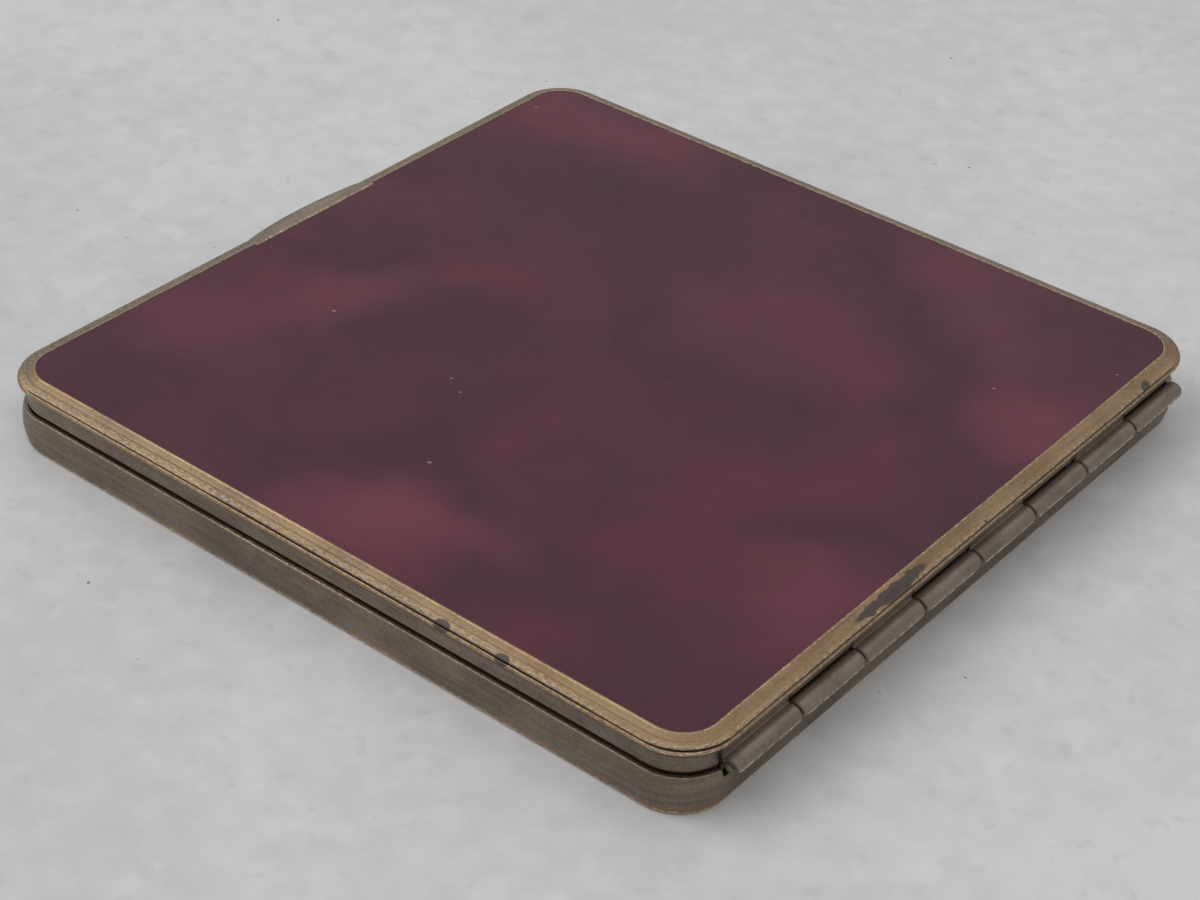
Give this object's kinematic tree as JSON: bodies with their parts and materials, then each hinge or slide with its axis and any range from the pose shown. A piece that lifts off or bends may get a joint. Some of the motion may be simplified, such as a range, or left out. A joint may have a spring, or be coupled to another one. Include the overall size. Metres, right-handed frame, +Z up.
{
  "type": "hinged pill box",
  "caption": "Slim square hinged pill box of pressed brass with a marbled lid panel, a mirror in the lid and divided compartments.",
  "frame": {"origin": "centre of the flat underside that the closed box rests on", "axes": "+Z up through the lid, +X towards the hinge, -X towards the thumb lip, Y along the hinge"},
  "size_m": [0.0779, 0.076, 0.0073],
  "materials": {
    "aged_brass": "dull brown-grey tarnished brass with rubbed edges",
    "brass": "satin worn gilt brass",
    "gilt": "bright satin gilding",
    "spring_steel": "dull steel",
    "card": "plain card",
    "marbled_panel": "plum marbling under a soft gloss",
    "felt": "thin felt",
    "mirror": "silvered glass"
  },
  "bodies": {
    "base": {"base_shell": "aged_brass", "base_liner": "gilt", "divider_long": "gilt", "divider_short": "gilt", "catch_spring": "spring_steel", "catch_rivets": "brass", "hinge_leaf_base": "aged_brass", "hinge_pin": "spring_steel"},
    "lid": {"lid_wall": "aged_brass", "lid_plate": "brass", "panel_backing": "card", "lid_panel": "marbled_panel", "bezel_frame": "brass", "thumb_lip": "brass", "mirror_pad": "felt", "mirror": "mirror", "mirror_frame": "gilt", "hinge_leaf_lid": "aged_brass"}
  },
  "joints": [
    {"name": "lid_hinge", "type": "hinge", "parent": "base", "child": "lid", "pos_m": [0.03808, 0, 0.00405], "axis": [0, 1, 0], "range_deg": [0, 180]}
  ]
}
